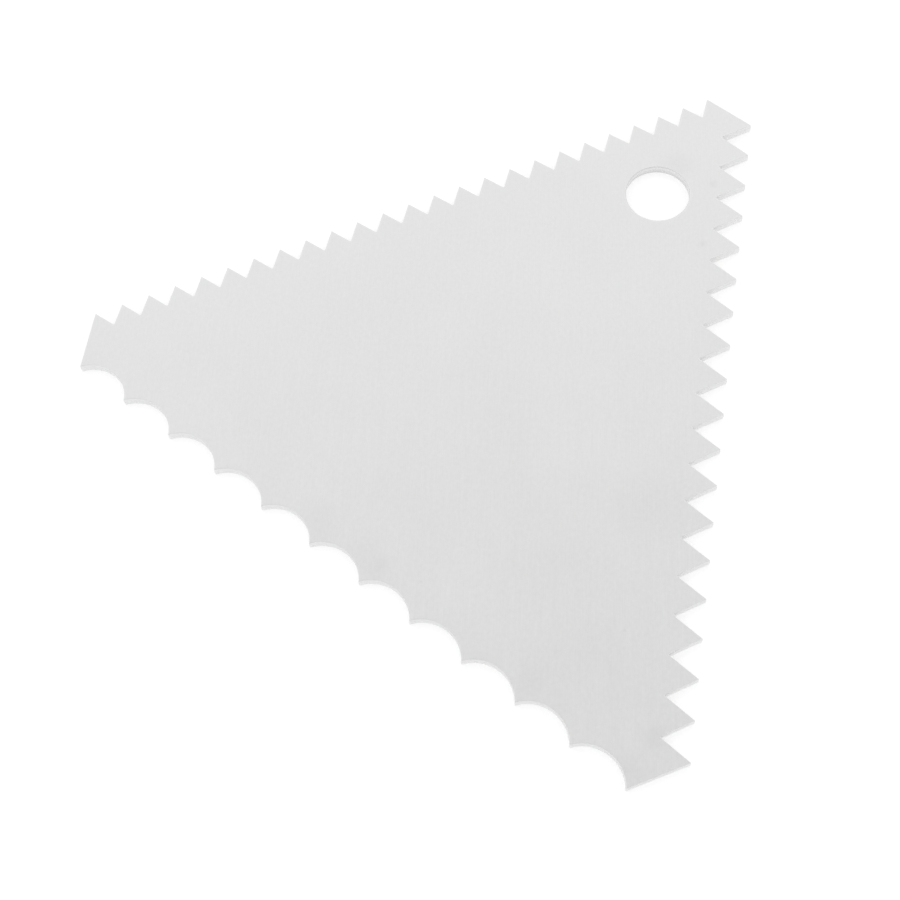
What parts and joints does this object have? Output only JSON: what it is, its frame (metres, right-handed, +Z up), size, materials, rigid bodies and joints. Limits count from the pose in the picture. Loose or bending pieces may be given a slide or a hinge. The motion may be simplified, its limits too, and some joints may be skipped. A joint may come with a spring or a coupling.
{
  "type": "cake comb",
  "caption": "Flat triangular sheet-metal comb for texturing icing: fine teeth on one edge, coarse teeth on the next, scallops on the last, blunt corners and a hanging hole.",
  "frame": {"origin": "middle of the comb's length and width, on its underside", "axes": "+X along the fine teeth towards the corner with the hanging hole, +Y across the sheet towards the fine teeth, +Z up out of the upper face"},
  "size_m": [0.1088, 0.0938, 0.0015],
  "materials": {
    "aluminium_sheet": "matte rolled sheet with stamped edges"
  },
  "bodies": {
    "root": {"comb_plate": "aluminium_sheet"}
  },
  "joints": []
}
